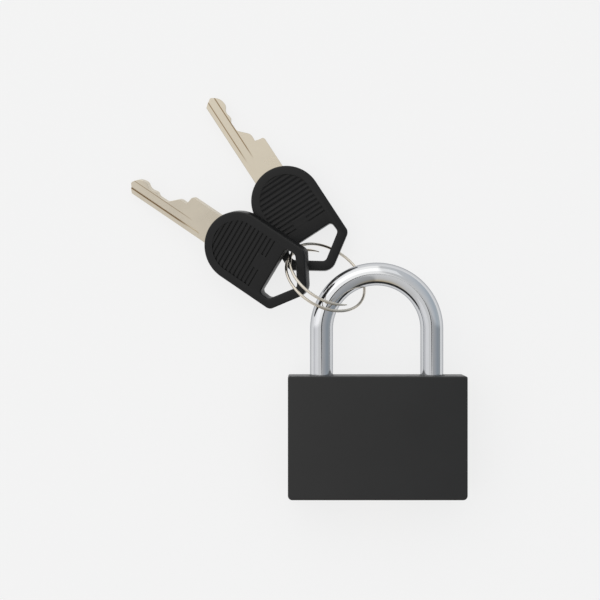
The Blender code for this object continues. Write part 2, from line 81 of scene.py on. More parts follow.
# the shackle's heel leg has a neck, and a flat beside its stop pin
HEEL_NECK_Y = (-0.2 * MM, 2.4 * MM)
HEEL_NECK_R = 1.3 * MM
HEEL_FLAT_X = -15.3 * MM
HEEL_FLAT_Y = (2.3 * MM, 12.3 * MM)
# its toe has a notch for the bolt's nose
NOTCH_DEPTH = 1.3 * MM
NOTCH_Y = (7.8 * MM, 13.3 * MM)

# the case's bores: radii, and the heights where they end
LEG_BORE_R = 3.2 * MM
HEEL_BORE_Y = -14.0 * MM
TOE_BORE_Y = 5.0 * MM
MOUTH_DEPTH = 0.35 * MM
MOUTH_R = 3.6 * MM
PLUG_BORE_R = 5.2 * MM
PLUG_BORE_Y = 3.2 * MM
FLANGE_BORE_R = 6.0 * MM
FLANGE_BORE_Y = -14.2 * MM
CAM_BORE_R = 4.7 * MM
CAM_BORE_Y = (2.9 * MM, 9.4 * MM)
BOLT_BORE_R = 3.85 * MM
BOLT_BORE_X = -10.2 * MM
BOLT_Y = 10.0 * MM
PIN_HOLE_R = 1.3 * MM
PIN_HOLE_X = 3.0 * MM
PIN_ROWS = [-2.7 * MM, -5.7 * MM, -8.7 * MM, -11.7 * MM]
# x, y, depth from the back and radius, in millimetres, for the plug's and the heel's cross pins
CROSS_PINS = [(-5.0, 1.2, 11.0, 1.15), (-16.6, 11.0, 12.5, 1.25)]

# the plug, from its face up to its inner end
PLUG_FACE_Y = -15.4 * MM
PLUG_END_Y = 3.0 * MM
PLUG_R = 5.0 * MM
FLANGE_R = 5.8 * MM
FLANGE_T = 0.9 * MM
RETAINER_GROOVE_R = 3.8 * MM
RETAINER_GROOVE_Y = (0.0, 2.4 * MM)

KEY_LENGTH = 53.75 * MM
KEY_POSES = {
    "key_1": (Vector((-11.55, 42.43, 3.82)) * MM, -56.9, 2.9, -0.15),
    "key_2": (Vector((-17.74, 36.66, 11.02)) * MM, -34.14, 9.66, 17.06),
}
# distance from the blade's tip and height above its spine, along the cut edge
KEY_CUTS = [
    (0.0, 2.03),
    (0.05, 2.46),
    (0.32, 2.84),
    (1.07, 3.69),
    (1.6, 4.12),
    (2.46, 4.44),
    (3.42, 4.55),
    (3.96, 4.39),
    (4.6, 3.91),
    (5.14, 3.69),
    (5.89, 3.64),
    (6.74, 3.85),
    (7.28, 3.85),
    (7.81, 3.48),
    (8.25, 3.26),
    (10.59, 3.32),
    (11.02, 3.53),
    (12.84, 5.3),
    (13.38, 5.72),
    (14.02, 5.89),
    (15.52, 5.83),
    (15.78, 6.85),
    (15.94, 7.86),
    (16.21, 8.13),
    (16.59, 8.25),
]
BLADE_H = 8.25 * MM
BLADE_END_X = 28.15 * MM
# the milled groove's two sides, below the blade's spine
GROOVE_HIGH = 1.1 * MM
GROOVE_LOW = 3.1 * MM
HEAD_HALF_W = 9.0 * MM
HEAD_POINT_X = -0.5 * MM
HEAD_SHOULDER_X = 5.6 * MM
HEAD_ARCH_X = 20.85 * MM
HOLE_SIDE = (7.2 * MM, 6.85 * MM)
HOLE_END = (10.0 * MM, 6.65 * MM)
RECESS_R = 6.8 * MM
RECESS_END_X = 13.2 * MM
RECESS_DEPTH = 0.45 * MM
RIB_COUNT = 12
RIB_W = 0.75 * MM
RING_TURN = (math.radians(-49.9), 0.0, math.radians(-32.9))
RING_CENTRE = Vector((-12.72, 40.367, 8.70)) * MM
RING_FROM = -42.0
RING_TO = -601.0

VIEW_CENTRE = (-19.46 * MM, 34.6 * MM, 0.0)
HOOD_R = 40.0 * MM
# each lamp's name, place, size, watts and colour
LAMPS = [
    ("sky_panel", (-0.25, 1.0, 0.95), (1.5, 0.8), 1.2, (1.0, 0.995, 0.985)),
    ("left_panel", (-1.1, -0.1, 0.9), (0.9, 1.2), 0.5, (1.0, 1.0, 1.0)),
]
# height of the bumps in paint, metal and plastic
FINE_RELIEF = 0.02 * MM
# brightness of the room from its left to its right, and from its front to its back
ROOM_ACROSS = [
    (-1.0, (0.74, 0.74, 0.755)),
    (-0.35, (0.79, 0.79, 0.79)),
    (0.05, (0.79, 0.79, 0.785)),
    (0.10, (0.48, 0.485, 0.49)),
    (0.5, (0.42, 0.44, 0.465)),
    (0.85, (0.32, 0.36, 0.40)),
    (1.0, (0.36, 0.39, 0.41)),
]
ROOM_ALONG = [
    (-1.0, (0.60, 0.46, 0.26)),
    (-0.9, (0.74, 0.68, 0.57)),
    (-0.75, (0.84, 0.83, 0.81)),
    (-0.3, (0.97, 0.97, 0.97)),
    (0.0, (0.95, 0.95, 0.95)),
    (0.06, (1.42, 1.41, 1.39)),
    (0.95, (1.50, 1.49, 1.47)),
]


# settings


class PadlockCaseSettings(bpy.types.PropertyGroup):
    edge: FloatProperty(
        name="Edge Radius",
        description="Radius of the case's long edges",
        default=0.3 * MM,
        min=0.05 * MM,
        max=1.0 * MM,
        subtype="DISTANCE",
        unit="LENGTH",
    )
    low_corner: FloatProperty(
        name="Lower Corners",
        description="Radius of the two corners by the keyhole",
        default=1.1 * MM,
        subtype="DISTANCE",
        unit="LENGTH",
    )
    high_corner: FloatProperty(
        name="Upper Corners",
        description="Radius of the two corners by the shackle",
        default=0.5 * MM,
        subtype="DISTANCE",
        unit="LENGTH",
    )
    paint: FloatVectorProperty(
        name="Paint",
        description="Colour of the case's satin paint",
        default=(0.0095, 0.0095, 0.0095),
        subtype="COLOR",
        size=3,
        min=0.0,
        max=1.0,
    )


class PadlockShackleSettings(bpy.types.PropertyGroup):
    sides: IntProperty(
        name="Sides",
        description="Sides of the round bar",
        default=16,
        min=6,
        max=32,
    )
    plating: FloatVectorProperty(
        name="Plating",
        description="Colour of the chrome plating",
        default=(0.70, 0.71, 0.727),
        subtype="COLOR",
        size=3,
        min=0.0,
        max=1.0,
    )


class PadlockKeySettings(bpy.types.PropertyGroup):
    head_thickness: FloatProperty(
        name="Head Thickness",
        description="Thickness of the moulded head",
        default=3.5 * MM,
        subtype="DISTANCE",
        unit="LENGTH",
    )
    blade_thickness: FloatProperty(
        name="Blade Thickness",
        description="Thickness of the metal blade",
        default=2.0 * MM,
        subtype="DISTANCE",
        unit="LENGTH",
    )
    rib_pitch: FloatProperty(
        name="Rib Pitch",
        description="Distance between the grip ribs",
        default=1.21 * MM,
        subtype="DISTANCE",
        unit="LENGTH",
    )
    plastic: FloatVectorProperty(
        name="Plastic",
        description="Colour of the moulded heads",
        default=(0.005, 0.005, 0.0053),
        subtype="COLOR",
        size=3,
        min=0.0,
        max=1.0,
    )
    metal: FloatVectorProperty(
        name="Blade Metal",
        description="Colour of the nickel silver blades",
        default=(0.655, 0.592, 0.483),
        subtype="COLOR",
        size=3,
        min=0.0,
        max=1.0,
    )


class PadlockRingSettings(bpy.types.PropertyGroup):
    wire: FloatProperty(
        name="Wire Radius",
        description="Radius of the ring's wire",
        default=0.36 * MM,
        subtype="DISTANCE",
        unit="LENGTH",
    )
    radius: FloatProperty(
        name="Ring Radius",
        description="Radius of the ring along the middle of its wire",
        default=10.652 * MM,
        subtype="DISTANCE",
        unit="LENGTH",
    )
    rise: FloatProperty(
        name="Rise",
        description="Rise of the wire in one turn",
        default=2.39 * MM,
        subtype="DISTANCE",
        unit="LENGTH",
    )
    metal: FloatVectorProperty(
        name="Wire Metal",
        description="Colour of the nickel plated wire",
        default=(0.66, 0.61, 0.53),
        subtype="COLOR",
        size=3,
        min=0.0,
        max=1.0,
    )


class PadlockStageSettings(bpy.types.PropertyGroup):
    floor: FloatVectorProperty(
        name="Floor",
        description="Colour of the translucent sheet that the lock lies on",
        default=(0.14, 0.14, 0.14),
        subtype="COLOR",
        size=3,
        min=0.0,
        max=1.0,
    )
    glow: FloatProperty(
        name="Floor Glow",
        description="Light that comes up through the sheet",
        default=0.79,
        min=0.0,
        max=1.0,
        subtype="FACTOR",
    )
    height: FloatProperty(
        name="Camera Height",
        description="Height of the camera above the floor",
        default=0.468,
        subtype="DISTANCE",
        unit="LENGTH",
    )
    lens: FloatProperty(
        name="Lens",
        description="Focal length in millimetres",
        default=108.96,
        min=20.0,
        max=300.0,
    )


# making meshes


def turn_to(axis):
    return Vector((0.0, 0.0, 1.0)).rotation_difference(Vector(axis)).to_euler()


def finish_mesh(obj, sharp=35.0):
    obj.data.shade_smooth()
    obj.data.set_sharp_from_angle(angle=math.radians(sharp))
    return obj


def link(obj):
    if not obj.users_collection:
        bpy.context.scene.collection.objects.link(obj)
    return obj


def bake_shape(obj, name=None):
    """Turns a curve, or an object with modifiers, into a plain mesh object."""
    link(obj)
    bpy.context.view_layer.update()
    depsgraph = bpy.context.evaluated_depsgraph_get()
    mesh = bpy.data.meshes.new_from_object(obj.evaluated_get(depsgraph))
    bm = bmesh.new()
    bm.from_mesh(mesh)
    bmesh.ops.remove_doubles(bm, verts=bm.verts, dist=0.000002)
    bm.to_mesh(mesh)
    bm.free()
    name = name or obj.name
    matrix = obj.matrix_world.copy()
    bpy.data.objects.remove(obj, do_unlink=True)
    mesh.name = name
    made = bpy.data.objects.new(name, mesh)
    made.matrix_world = matrix
    return link(made)


def rod(name, start, end, radius, sides=48, end_radius=None):
    start = Vector(start)
    end = Vector(end)
    bm = bmesh.new()
    bmesh.ops.create_cone(
        bm,
        cap_ends=True,
        segments=sides,
        radius1=radius,
        radius2=radius if end_radius is None else end_radius,
        depth=(end - start).length,
    )
    mesh = bpy.data.meshes.new(name)
    bm.to_mesh(mesh)
    bm.free()
    obj = bpy.data.objects.new(name, mesh)
    obj.location = (start + end) / 2.0
    obj.rotation_euler = turn_to(end - start)
    return obj


def box(name, low, high, matrix=None):
    low = Vector(low)
    high = Vector(high)
    bm = bmesh.new()
    bmesh.ops.create_cube(bm, size=1.0)
    bmesh.ops.scale(bm, vec=high - low, verts=bm.verts)
    mesh = bpy.data.meshes.new(name)
    bm.to_mesh(mesh)
    bm.free()
    obj = bpy.data.objects.new(name, mesh)
    place = Matrix.Translation((low + high) / 2.0)
    obj.matrix_world = place if matrix is None else matrix @ place
    return obj


def turned(name, profile, base, axis, sides=64):
    """A turned piece: (radius, height) points from its top down, spun round its axis."""
    mesh = bpy.data.meshes.new(name)
    verts = [(radius, 0.0, height) for radius, height in profile]
    mesh.from_pydata(verts, [(i, i + 1) for i in range(len(verts) - 1)], [])
    obj = bpy.data.objects.new(name, mesh)
    obj.location = base
    obj.rotation_euler = turn_to(axis)
    spin = obj.modifiers.new("spin", "SCREW")
    spin.steps = sides
    spin.render_steps = sides
    spin.use_merge_vertices = True
    spin.merge_threshold = 0.00001
    return bake_shape(obj)


def plate(name, outlines, thickness, edge=0.0, matrix=None, rounds=0):
    """A flat plate cut to its outlines, with rounded rims."""
    curve = bpy.data.curves.new(name, "CURVE")
    curve.dimensions = "2D"
    curve.fill_mode = "BOTH"
    curve.extrude = thickness / 2.0 - edge
    curve.bevel_depth = edge
    curve.bevel_resolution = rounds
    curve.offset = -edge
    for outline in outlines:
        spline = curve.splines.new("POLY")
        spline.points.add(len(outline) - 1)
        for point, (x, y) in zip(spline.points, outline):
            point.co = (x, y, 0.0, 1.0)
        spline.use_cyclic_u = True
    obj = bpy.data.objects.new(name, curve)
    if matrix is not None:
        obj.matrix_world = matrix
    return bake_shape(obj)


def wire(name, points, radius, resolution, matrix=None, taper=None):
    curve = bpy.data.curves.new(name, "CURVE")
    curve.dimensions = "3D"
    curve.bevel_depth = radius
    curve.bevel_resolution = resolution
    curve.use_fill_caps = True
    spline = curve.splines.new("POLY")
    spline.points.add(len(points) - 1)
    for i, (point, co) in enumerate(zip(spline.points, points)):
        point.co = (*co, 1.0)
        if taper is not None:
            point.radius = taper(i)
    obj = bpy.data.objects.new(name, curve)
    if matrix is not None:
        obj.matrix_world = matrix
    return bake_shape(obj)


def filleted(corners, steps=8):
    """A closed outline whose corners, (x, y, radius), are rounded."""
    out = []
    count = len(corners)
    for i, (x, y, radius) in enumerate(corners):
        here = Vector((x, y))
        if radius <= 0.0:
            out.append((x, y))
            continue
        back = (Vector(corners[i - 1][:2]) - here).normalized()
        ahead = (Vector(corners[(i + 1) % count][:2]) - here).normalized()
        half = back.angle(ahead) / 2.0
        centre = here + (back + ahead).normalized() * radius / math.sin(half)
        first = here + back * radius / math.tan(half) - centre
        last = here + ahead * radius / math.tan(half) - centre
        sweep = first.angle_signed(last)
        for k in range(steps + 1):
            spot = centre + Matrix.Rotation(-sweep * k / steps, 2) @ first
            out.append((spot.x, spot.y))
    return out


def carve(target, cutters, operation="DIFFERENCE"):
    """Cuts the cutters out of a mesh, or joins them to it, and removes them."""
    for obj in (target, *cutters):
        link(obj)
    bpy.context.view_layer.update()
    home = target.matrix_world.copy()
    for obj in (target, *cutters):
        obj.data.transform(Matrix.Scale(CARVE_SCALE, 4) @ obj.matrix_world)
        obj.matrix_world = Matrix.Identity(4)
    group = bpy.data.collections.new("cutters")
    bpy.context.scene.collection.children.link(group)
    for cutter in cutters:
        group.objects.link(cutter)
    mod = target.modifiers.new("carve", "BOOLEAN")
    mod.operation = operation
    mod.solver = "EXACT"
    mod.operand_type = "COLLECTION"
    mod.collection = group
    made = bake_shape(target)
    bpy.data.collections.remove(group)
    made.data.transform((Matrix.Scale(CARVE_SCALE, 4) @ home).inverted())
    made.matrix_world = home
    for cutter in cutters:
        bpy.data.objects.remove(cutter, do_unlink=True)
    return made


def fit_piece(obj, body, slot, material, *nodes):
    """Gives a finished piece its material, its body and the frame nodes that it stands for."""
    obj.data.materials.clear()
    obj.data.materials.append(material)
    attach(obj, body)
    if nodes:
        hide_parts(*nodes)
    return obj


# materials


def start_material(name):
    mat = bpy.data.materials.new(name)
    mat.use_nodes = True
    nodes = mat.node_tree.nodes
    shader = nodes["Principled BSDF"]
    coords = nodes.new("ShaderNodeTexCoord")
    coords.location = (-1100, 0)
    return mat, shader, coords


def add_noise(mat, coords, scale, detail, stretch=(1.0, 1.0, 1.0)):
    nodes = mat.node_tree.nodes
    links = mat.node_tree.links
    mapping = nodes.new("ShaderNodeMapping")
    mapping.inputs["Scale"].default_value = stretch
    noise = nodes.new("ShaderNodeTexNoise")
    noise.inputs["Scale"].default_value = scale
    noise.inputs["Detail"].default_value = detail
    links.new(coords.outputs["Object"], mapping.inputs["Vector"])
    links.new(mapping.outputs["Vector"], noise.inputs["Vector"])
    return noise


def add_range(mat, source, low, high, target):
    nodes = mat.node_tree.nodes
    links = mat.node_tree.links
    spread = nodes.new("ShaderNodeMapRange")
    spread.inputs["From Min"].default_value = 0.3
    spread.inputs["From Max"].default_value = 0.7
    spread.inputs["To Min"].default_value = low
    spread.inputs["To Max"].default_value = high
    links.new(source, spread.inputs["Value"])
    links.new(spread.outputs["Result"], target)
    return spread


def add_tones(mat, source, dark, light, shader):
    nodes = mat.node_tree.nodes
    links = mat.node_tree.links
    ramp = nodes.new("ShaderNodeValToRGB")
    ramp.color_ramp.elements[0].position = 0.3
    ramp.color_ramp.elements[0].color = (*dark, 1.0)
    ramp.color_ramp.elements[1].position = 0.7
    ramp.color_ramp.elements[1].color = (*light, 1.0)
    links.new(source, ramp.inputs["Fac"])
    links.new(ramp.outputs["Color"], shader.inputs["Base Color"])
    return ramp


def add_relief(mat, sources, shader, distance):
    """Chains bumps, one for each (height, strength)."""
    nodes = mat.node_tree.nodes
    links = mat.node_tree.links
    before = None
    for height, strength in sources:
        bump = nodes.new("ShaderNodeBump")
        bump.inputs["Strength"].default_value = strength
        bump.inputs["Distance"].default_value = distance
        links.new(height, bump.inputs["Height"])
        if before is not None:
            links.new(before.outputs["Normal"], bump.inputs["Normal"])
        before = bump
    links.new(before.outputs["Normal"], shader.inputs["Normal"])


def tint(colour, factor):
    return tuple(min(1.0, channel * factor) for channel in colour)


def satin_paint(colour):
    """Thin satin paint with a fine orange peel."""
    mat, shader, coords = start_material("satin_black_paint")
    peel = add_noise(mat, coords, 1500.0, 2.0)
    cloud = add_noise(mat, coords, 60.0, 3.0)
    grit = add_noise(mat, coords, 5200.0, 2.0)
    add_tones(mat, cloud.outputs["Fac"], tint(colour, 0.88), tint(colour, 1.14), shader)
    add_range(mat, cloud.outputs["Fac"], 0.40, 0.47, shader.inputs["Roughness"])
    bumps = [(peel.outputs["Fac"], 0.10), (grit.outputs["Fac"], 0.10)]
    add_relief(mat, bumps, shader, FINE_RELIEF)
    shader.inputs["Specular IOR Level"].default_value = 0.5
    return mat


def chrome_plate(colour):
    mat, shader, coords = start_material("chrome_plate")
    haze = add_noise(mat, coords, 120.0, 4.0)
    lines = add_noise(mat, coords, 2600.0, 3.0, (1.0, 0.04, 1.0))
    add_tones(mat, haze.outputs["Fac"], tint(colour, 0.97), tint(colour, 1.02), shader)
    add_range(mat, haze.outputs["Fac"], 0.045, 0.085, shader.inputs["Roughness"])
    add_relief(mat, [(lines.outputs["Fac"], 0.02)], shader, FINE_RELIEF / 2.0)
    shader.inputs["Metallic"].default_value = 1.0
    shader.inputs["Specular Tint"].default_value = (0.45, 0.46, 0.48, 1.0)
    return mat


def nickel_silver(colour):
    """Blanked and milled blade metal with faint lines along the blade."""
    mat, shader, coords = start_material("nickel_silver")
    lines = add_noise(mat, coords, 900.0, 3.0, (0.05, 1.0, 1.0))
    stain = add_noise(mat, coords, 160.0, 4.0)
    grit = add_noise(mat, coords, 3500.0, 2.0)
    tones = add_tones(mat, stain.outputs["Fac"], tint(colour, 0.93), tint(colour, 1.04), shader)
    # painted shade along the groove's two edges, darkening the blade's colour there
    add_painted_groove_shade(mat, coords, tones, shader)
    add_range(mat, stain.outputs["Fac"], 0.26, 0.36, shader.inputs["Roughness"])
    bumps = [(lines.outputs["Fac"], 0.12), (grit.outputs["Fac"], 0.05)]
    add_relief(mat, bumps, shader, FINE_RELIEF)
    shader.inputs["Metallic"].default_value = 1.0
    return mat


def add_painted_groove_shade(mat, coords, tones, shader):
    """Painted shade: brown darkening along both sides of the milled groove, where its walls meet
    the blade's face.
    """
    nodes = mat.node_tree.nodes
    links = mat.node_tree.links
    parts = nodes.new("ShaderNodeSeparateXYZ")
    links.new(coords.outputs["Object"], parts.inputs["Vector"])
    spread = nodes.new("ShaderNodeMapRange")
    spread.inputs["From Min"].default_value = -BLADE_H / 2.0
    spread.inputs["From Max"].default_value = BLADE_H / 2.0
    links.new(parts.outputs["Y"], spread.inputs["Value"])
    ramp = nodes.new("ShaderNodeValToRGB")
    elements = ramp.color_ramp.elements
    # the blade's own colour away from the groove, and the painted brown shade on its edges
    unshaded = (1.0, 1.0, 1.0, 1.0)
    painted_shade = (0.46, 0.36, 0.25, 1.0)
    stops = []
    for below in (GROOVE_LOW, GROOVE_HIGH):
        middle = 1.0 - below / BLADE_H
        stops += [(middle - 0.022, unshaded), (middle - 0.008, painted_shade)]
        stops += [(middle + 0.008, painted_shade), (middle + 0.022, unshaded)]
    while len(elements) < len(stops):
        elements.new(0.5)
    for element, (position, colour) in zip(elements, stops):
        element.position = position
        element.color = colour
    links.new(spread.outputs["Result"], ramp.inputs["Fac"])
    reach = nodes.new("ShaderNodeMapRange")
    reach.inputs["From Min"].default_value = 34.5 * MM
    reach.inputs["From Max"].default_value = 38.0 * MM
    links.new(parts.outputs["X"], reach.inputs["Value"])
    mix = nodes.new("ShaderNodeMixRGB")
    mix.blend_type = "MULTIPLY"
    links.new(reach.outputs["Result"], mix.inputs["Fac"])
    links.new(tones.outputs["Color"], mix.inputs["Color1"])
    links.new(ramp.outputs["Color"], mix.inputs["Color2"])
    links.new(mix.outputs["Color"], shader.inputs["Base Color"])


def nickel_wire(colour):
    mat, shader, coords = start_material("nickel_wire")
    haze = add_noise(mat, coords, 300.0, 4.0)
    add_tones(mat, haze.outputs["Fac"], tint(colour, 0.94), tint(colour, 1.03), shader)
    add_range(mat, haze.outputs["Fac"], 0.13, 0.22, shader.inputs["Roughness"])
    add_relief(mat, [(haze.outputs["Fac"], 0.05)], shader, FINE_RELIEF)
    shader.inputs["Metallic"].default_value = 1.0
    return mat


def moulded_plastic(colour):
    """Black plastic with the fine grain of a spark-eroded mould."""
    mat, shader, coords = start_material("moulded_black_plastic")
    grain = add_noise(mat, coords, 3800.0, 3.0)
    flow = add_noise(mat, coords, 140.0, 3.0)
    add_tones(mat, flow.outputs["Fac"], tint(colour, 0.85), tint(colour, 1.15), shader)
    add_range(mat, flow.outputs["Fac"], 0.34, 0.42, shader.inputs["Roughness"])
    add_relief(mat, [(grain.outputs["Fac"], 0.14)], shader, FINE_RELIEF)
    shader.inputs["Specular IOR Level"].default_value = 0.3
    return mat


def turned_metal(name, colour, rough):
    """Lathe-turned metal for the small inner parts."""
    mat, shader, coords = start_material(name)
    lines = add_noise(mat, coords, 2500.0, 2.0)
    stain = add_noise(mat, coords, 200.0, 3.0)
    add_tones(mat, stain.outputs["Fac"], tint(colour, 0.9), tint(colour, 1.05), shader)
    add_range(mat, stain.outputs["Fac"], rough - 0.05, rough + 0.07, shader.inputs["Roughness"])
    add_relief(mat, [(lines.outputs["Fac"], 0.1)], shader, FINE_RELIEF)
    shader.inputs["Metallic"].default_value = 1.0
    return mat


# operators


class PADLOCK_OT_stage(bpy.types.Operator):
    """Sets the paper floor, the soft light and the camera above the lock"""

    bl_idname = "padlock.stage"
    bl_label = "Stage"

    def execute(self, context):
        settings = context.scene.padlock_stage
        scene = context.scene
        centre = Vector(VIEW_CENTRE)
        data = bpy.data.cameras.new("camera")
        data.lens = settings.lens
        data.sensor_width = 36.0
        data.clip_start = 0.01
        camera = bpy.data.objects.new("camera", data)
        camera.location = centre + Vector((0.0, 0.0, settings.height))
        scene.collection.objects.link(camera)
        scene.camera = camera
        scene.view_settings.view_transform = "Standard"

        floor = link(box("paper_floor", (-3.0, -3.0, -0.01), (3.0, 3.0, 0.0)))
        mat, shader, coords = start_material("paper")
        fibres = add_noise(mat, coords, 900.0, 3.0)
        add_tones(mat, fibres.outputs["Fac"], tint(settings.floor, 0.98), settings.floor, shader)
        shader.inputs["Emission Color"].default_value = (1.0, 1.0, 1.0, 1.0)
        shader.inputs["Emission Strength"].default_value = settings.glow
        shader.inputs["Roughness"].default_value = 0.95
        shader.inputs["Specular IOR Level"].default_value = 0.1
        floor.data.materials.append(mat)

        hood_low = centre + Vector((0.0, 0.0, settings.height + 6.0 * MM))
        hood_high = hood_low + Vector((0.0, 0.0, 20.0 * MM))
        hood = link(rod("lens_hood", hood_low, hood_high, HOOD_R))
        mat, shader, coords = start_material("dark_hood")
        shader.inputs["Base Color"].default_value = (0.02, 0.02, 0.022, 1.0)
        hood.data.materials.append(mat)

        for lamp in LAMPS:
            self.add_light(scene, *lamp)
        self.light_world(scene)
        return {"FINISHED"}

    def add_light(self, scene, name, spot, size, power, colour):
        data = bpy.data.lights.new(name, "AREA")
        data.shape = "RECTANGLE"
        data.size = size[0]
        data.size_y = size[1]
        data.energy = power
        data.color = colour
        lamp = bpy.data.objects.new(name, data)
        lamp.location = spot
        lamp.rotation_euler = turn_to(Vector(spot) - Vector((-0.02, 0.03, 0.0)))
        scene.collection.objects.link(lamp)

    def light_world(self, scene):
        """A pale room: brightest beyond the shackle, darker and cooler to the right."""
        world = bpy.data.worlds.new("studio")
        scene.world = world
        world.use_nodes = True
        nodes = world.node_tree.nodes
        links = world.node_tree.links
        back = nodes["Background"]
        coords = nodes.new("ShaderNodeTexCoord")
        parts = nodes.new("ShaderNodeSeparateXYZ")
        links.new(coords.outputs["Generated"], parts.inputs["Vector"])
        across = self.add_wall(world, parts.outputs["X"], ROOM_ACROSS)
        along = self.add_wall(world, parts.outputs["Y"], ROOM_ALONG)
        mix = nodes.new("ShaderNodeMixRGB")
        mix.blend_type = "MULTIPLY"
        mix.inputs["Fac"].default_value = 1.0
        links.new(across.outputs["Color"], mix.inputs["Color1"])
        links.new(along.outputs["Color"], mix.inputs["Color2"])
        links.new(mix.outputs["Color"], back.inputs["Color"])
        back.inputs["Strength"].default_value = 1.0

    def add_wall(self, world, source, stops):
        nodes = world.node_tree.nodes
        links = world.node_tree.links
        spread = nodes.new("ShaderNodeMapRange")
        spread.inputs["From Min"].default_value = -1.0
        spread.inputs["From Max"].default_value = 1.0
        links.new(source, spread.inputs["Value"])
        ramp = nodes.new("ShaderNodeValToRGB")
        elements = ramp.color_ramp.elements
        while len(elements) < len(stops):
            elements.new(0.5)
        for element, (position, colour) in zip(elements, stops):
            element.position = (position + 1.0) / 2.0
            element.color = (*colour, 1.0)
        links.new(spread.outputs["Result"], ramp.inputs["Fac"])
        return ramp


class PADLOCK_OT_case(bpy.types.Operator):
    """Builds the painted case, with its bores and the mouths for the shackle and the plug"""

    bl_idname = "padlock.case"
    bl_label = "Case"

    def execute(self, context):
        settings = context.scene.padlock_case
        corners = [
            (-HALF_W, -TOP_Y, settings.low_corner),
            (HALF_W, -TOP_Y, settings.low_corner),
            (HALF_W, TOP_Y, settings.high_corner),
            (-HALF_W, TOP_Y, settings.high_corner),
        ]
        centre = Matrix.Translation((0.0, 0.0, MID_Z))
        case = plate("case", [filleted(corners)], BODY_SIZE.z, settings.edge, centre, 3)
        cutters = []
        top = TOP_Y + OVERCUT
        for x, end in ((-LEG_X, HEEL_BORE_Y), (LEG_X, TOE_BORE_Y)):
            cutters.append(rod("leg_bore", (x, end, MID_Z), (x, top, MID_Z), LEG_BORE_R))
            mouth_low = (x, TOP_Y - MOUTH_DEPTH, MID_Z)
            mouth_high = (x, TOP_Y + 0.1 * MM, MID_Z)
            cutters.append(rod("leg_mouth", mouth_low, mouth_high, 3.15 * MM, 48, MOUTH_R))
        face = (0.0, -TOP_Y - OVERCUT, MID_Z)
        cutters.append(rod("plug_bore", face, (0.0, PLUG_BORE_Y, MID_Z), PLUG_BORE_R))
        cutters.append(rod("flange_bore", face, (0.0, FLANGE_BORE_Y, MID_Z), FLANGE_BORE_R, 64))
        flare_low = (0.0, -TOP_Y - 0.1 * MM, MID_Z)
        flare_high = (0.0, -15.2 * MM, MID_Z)
        cutters.append(rod("flange_flare", flare_low, flare_high, 6.35 * MM, 64, 5.95 * MM))
        low_y, high_y = CAM_BORE_Y
        cutters.append(rod("cam_bore", (0.0, low_y, MID_Z), (0.0, high_y, MID_Z), CAM_BORE_R))
        side = HALF_W + OVERCUT
        bolt_start = (BOLT_BORE_X, BOLT_Y, MID_Z)
        cutters.append(rod("bolt_bore", bolt_start, (side, BOLT_Y, MID_Z), BOLT_BORE_R))
        for x, y, high, radius in CROSS_PINS:
            spot = Vector((x * MM, y * MM, -OVERCUT))
            cutters.append(rod("pin_bore", spot, (spot.x, spot.y, high * MM), radius * MM, 24))
        for y in PIN_ROWS:
            start = (PIN_HOLE_X, y, MID_Z)
            cutters.append(rod("pin_row", start, (side, y, MID_Z), PIN_HOLE_R, 24))
        case = carve(case, cutters)
        finish_mesh(case)
        fit_piece(case, "lock", "black_paint", satin_paint(settings.paint), "lock_body")
        return {"FINISHED"}


class PADLOCK_OT_shackle(bpy.types.Operator):
    """Bends the chrome bar, with its toe notch and the flat and neck of its heel"""

    bl_idname = "padlock.shackle"
    bl_label = "Shackle"

    def execute(self, context):
        settings = context.scene.padlock_shackle
        ease = 0.5 * MM
        points = [
            (-LEG_X, HEEL_END_Y, MID_Z),
            (-LEG_X, HEEL_END_Y + ease, MID_Z),
            (-LEG_X, 4.0 * MM, MID_Z),
            (-LEG_X, 16.0 * MM, MID_Z),
        ]
        steps = 72
        for i in range(steps + 1):
            angle = math.pi - math.pi * i / steps
            points.append((LEG_X * math.cos(angle), ARCH_Y + LEG_X * math.sin(angle), MID_Z))
        points += [
            (LEG_X, 16.0 * MM, MID_Z),
            (LEG_X, TOE_END_Y + ease, MID_Z),
            (LEG_X, TOE_END_Y, MID_Z),
        ]
        last = len(points) - 1

        def ends(i):
            return 1.0 - ease / ROD_R if i in (0, last) else 1.0

        bar = wire("shackle_bar", points, ROD_R, settings.sides, None, ends)
        side = 5.0 * MM
        inner_x = LEG_X - ROD_R
        notch = box(
            "toe_notch",
            (inner_x - OVERCUT, NOTCH_Y[0], MID_Z - side),
            (inner_x + NOTCH_DEPTH, NOTCH_Y[1], MID_Z + side),
        )
        flat = box(
            "heel_flat",
            (-LEG_X - ROD_R - OVERCUT, HEEL_FLAT_Y[0], MID_Z - side),
            (HEEL_FLAT_X, HEEL_FLAT_Y[1], MID_Z + side),
        )
        neck_low, neck_high = HEEL_NECK_Y
        neck_start = Vector((-LEG_X, neck_low, MID_Z))
        neck_end = Vector((-LEG_X, neck_high, MID_Z))
        past = Vector((0.0, OVERCUT, 0.0))
        neck = rod("heel_neck", neck_start, neck_end, ROD_R + OVERCUT)
        core = rod("neck_core", neck_start - past, neck_end + past, HEEL_NECK_R)
        neck = carve(neck, [core])
        bar = carve(bar, [notch, flat, neck])
        finish_mesh(bar)
        fit_piece(bar, "shackle", "chrome", chrome_plate(settings.plating), "shackle")
        return {"FINISHED"}


